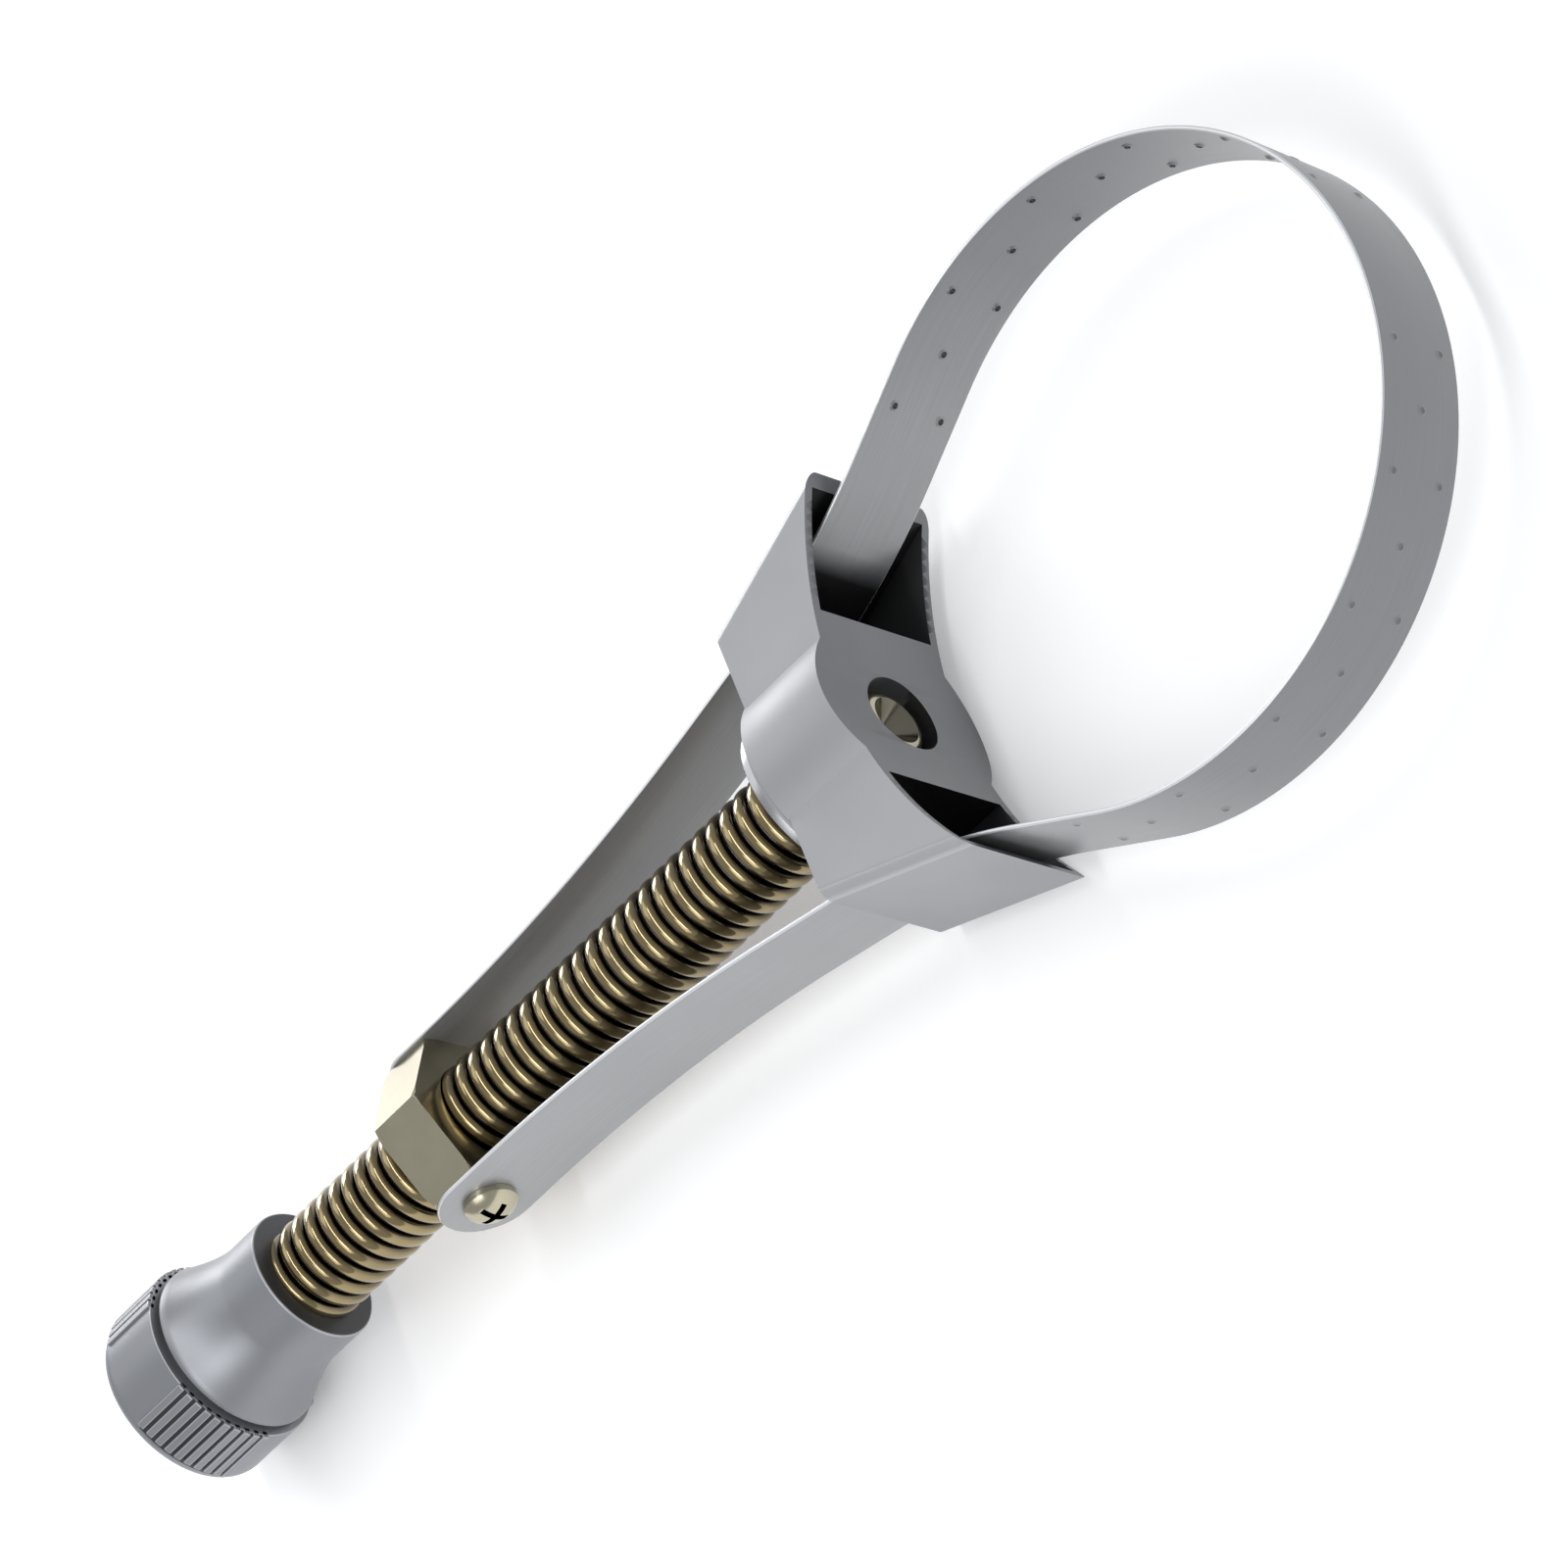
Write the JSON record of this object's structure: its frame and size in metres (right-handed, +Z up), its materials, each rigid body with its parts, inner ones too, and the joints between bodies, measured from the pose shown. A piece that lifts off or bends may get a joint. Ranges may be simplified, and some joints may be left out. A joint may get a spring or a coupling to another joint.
{
  "type": "oil filter wrench",
  "caption": "Steel band filter wrench: a screw with a knob draws both ends of the band back through a cast saddle head and closes its loop on the can.",
  "frame": {"origin": "centre of the round can that the loop grips, half way up the band's width", "axes": "+X along the tool's screw away from the knob, towards the crown of the loop; +Z up along the can's axis; +Y to the left of +X"},
  "size_m": [0.2658, 0.0944, 0.0316],
  "materials": {
    "cast_alloy": "satin grey die casting, fine grained, edges slightly bright",
    "band_steel": "cold rolled strip, satin, faint lengthwise grain",
    "washer_steel": "turned faces, bright zinc plate",
    "yellow_zinc": "yellow zinc plate, semi-bright, darker in the thread's roots",
    "knob_alloy": "satin grey, smooth, worn brighter on the ribs",
    "pin_steel": "plain rolled spring steel"
  },
  "bodies": {
    "frame": {"head_casting": "cast_alloy", "steel_band": "band_steel", "rear_thrust_washer": "washer_steel"},
    "screw": {"lead_screw": "yellow_zinc", "front_retaining_washer": "washer_steel", "knob_barrel": "knob_alloy", "knob_grip_cap": "knob_alloy", "knob_cross_pin": "pin_steel"},
    "nut": {"travelling_nut": "yellow_zinc", "band_screw_left": "yellow_zinc", "band_screw_right": "yellow_zinc"}
  },
  "joints": [
    {"name": "knob_turn", "type": "hinge", "parent": "frame", "child": "screw", "pos_m": [0, 0, 0], "axis": [1, 0, 0], "range_deg": [-6000, 3600]},
    {"name": "nut_travel", "type": "slide", "parent": "frame", "child": "nut", "axis": [-1, 0, 0], "range_m": [-0.05, 0.03], "deforming": ["steel_band"]}
  ],
  "couplings": [
    {"joint": "nut_travel", "follows": "knob_turn", "m_per_rad": 0.00047746}
  ]
}
